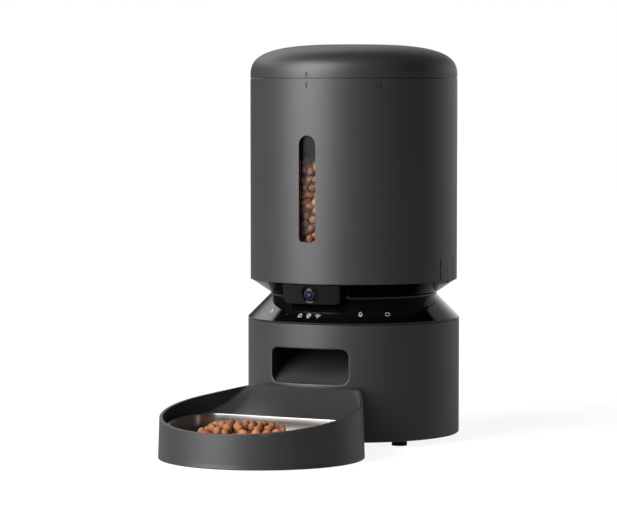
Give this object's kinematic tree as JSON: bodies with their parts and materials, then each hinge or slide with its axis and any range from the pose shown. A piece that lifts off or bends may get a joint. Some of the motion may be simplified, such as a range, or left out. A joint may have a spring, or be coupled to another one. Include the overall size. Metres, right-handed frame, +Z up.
{
  "type": "camera pet feeder",
  "caption": "Automatic pet feeder: round hopper tower with twist-off lid and level window, camera and touch panel at the waist, motor base with outlet, and a pull-out tray with a steel bowl.",
  "frame": {"origin": "centre of the footprint's bounding box, on the floor plane", "axes": "+Z up; -Y towards the bowl, the feeder's front; +X to the right seen from the front"},
  "size_m": [0.19, 0.361, 0.3536],
  "materials": {
    "shell_plastic": "fine satin texture, dark grey",
    "gloss_black": "polished black",
    "pod_plastic": "smooth dark grey",
    "inner_plastic": "moulded",
    "clear_plastic": "clear, smoke tinted",
    "silicone": "soft translucent grey",
    "rubber": "matt black",
    "steel": "brushed stainless",
    "spring_steel": "bright plated",
    "gear_plastic": "natural acetal",
    "circuit_board": "green solder mask",
    "granules": "paper-like sachet",
    "lens_glass": "coated lens"
  },
  "bodies": {
    "base": {"base_shell": "shell_plastic", "control_panel": "gloss_black", "touch_board": "circuit_board", "well_deck": "inner_plastic", "outlet_chute": "inner_plastic", "bottom_plate": "inner_plastic", "battery_bay": "inner_plastic", "battery_contact_left": "spring_steel", "battery_contact_right": "spring_steel", "rubber_foot_1": "rubber", "rubber_foot_2": "rubber", "rubber_foot_3": "rubber", "rubber_foot_4": "rubber", "bottom_screw_1": "steel", "bottom_screw_2": "steel", "bottom_screw_3": "steel", "bottom_screw_4": "steel", "main_board": "circuit_board", "speaker": "inner_plastic", "power_socket": "inner_plastic", "gearbox_housing": "inner_plastic", "gearbox_cover": "inner_plastic", "drive_motor": "steel", "camera_housing": "pod_plastic", "camera_bezel": "gloss_black", "camera_lens": "lens_glass", "camera_barrel": "inner_plastic", "camera_board": "circuit_board"},
    "tank": {"tank_shell": "shell_plastic", "window_pane": "clear_plastic", "tank_collar": "gloss_black", "hopper_funnel": "inner_plastic", "rotor_chamber": "inner_plastic", "portion_baffle": "inner_plastic"},
    "latch_left": {"latch_tab_left": "shell_plastic"},
    "latch_right": {"latch_tab_right": "shell_plastic"},
    "seal": {"lid_seal": "silicone"},
    "lid": {"lid_shell": "shell_plastic", "lid_liner": "inner_plastic", "desiccant_case": "inner_plastic", "desiccant_pack": "granules"},
    "desiccant_lid": {"desiccant_cover": "inner_plastic"},
    "rotor": {"dosing_rotor": "inner_plastic", "agitator": "silicone"},
    "drive": {"output_gear": "gear_plastic", "drive_shaft": "steel"},
    "pinion": {"motor_pinion": "gear_plastic"},
    "door": {"battery_door": "inner_plastic"},
    "tray": {"food_tray": "shell_plastic", "tray_pad_1": "rubber", "tray_pad_2": "rubber", "tray_pad_3": "rubber"},
    "bowl": {"steel_bowl": "steel"}
  },
  "joints": [
    {"name": "tank_lift", "type": "slide", "parent": "base", "child": "tank", "axis": [0, 0, 1], "range_m": [0, 0.06]},
    {"name": "latch_left_press", "type": "hinge", "parent": "tank", "child": "latch_left", "pos_m": [-0.09115, 0.0855, 0.164], "axis": [0, -1, 0], "range_deg": [0, 6], "stiffness_Nm_per_rad": 0.5},
    {"name": "latch_right_press", "type": "hinge", "parent": "tank", "child": "latch_right", "pos_m": [0.09115, 0.0855, 0.164], "axis": [0, 1, 0], "range_deg": [0, 6], "stiffness_Nm_per_rad": 0.5},
    {"name": "lid_lift", "type": "slide", "parent": "tank", "child": "seal", "axis": [0, 0, 1], "range_m": [0, 0.08]},
    {"name": "lid_twist", "type": "hinge", "parent": "seal", "child": "lid", "pos_m": [0, 0.0855, 0.323], "axis": [0, 0, 1], "range_deg": [0, 40]},
    {"name": "desiccant_cover_pull", "type": "slide", "parent": "lid", "child": "desiccant_lid", "axis": [0, 0, -1], "range_m": [0, 0.02]},
    {"name": "rotor_spin", "type": "hinge", "parent": "tank", "child": "rotor", "pos_m": [0, 0.0855, 0.12], "axis": [0, 0, 1], "continuous": true},
    {"name": "drive_spin", "type": "hinge", "parent": "base", "child": "drive", "pos_m": [0, 0.0855, 0.09], "axis": [0, 0, 1], "continuous": true},
    {"name": "pinion_spin", "type": "hinge", "parent": "base", "child": "pinion", "pos_m": [0, 0.1215, 0.08], "axis": [0, 0, 1], "continuous": true},
    {"name": "battery_door_pull", "type": "slide", "parent": "base", "child": "door", "axis": [0, 0, -1], "range_m": [0, 0.02]},
    {"name": "tray_slide", "type": "slide", "parent": "base", "child": "tray", "axis": [0, -1, 0], "range_m": [0, 0.06]},
    {"name": "bowl_lift", "type": "slide", "parent": "tray", "child": "bowl", "axis": [0, 0, 1], "range_m": [0, 0.04]}
  ],
  "couplings": [
    {"joint": "drive_spin", "follows": "rotor_spin", "ratio": 1},
    {"joint": "pinion_spin", "follows": "rotor_spin", "ratio": -3}
  ]
}
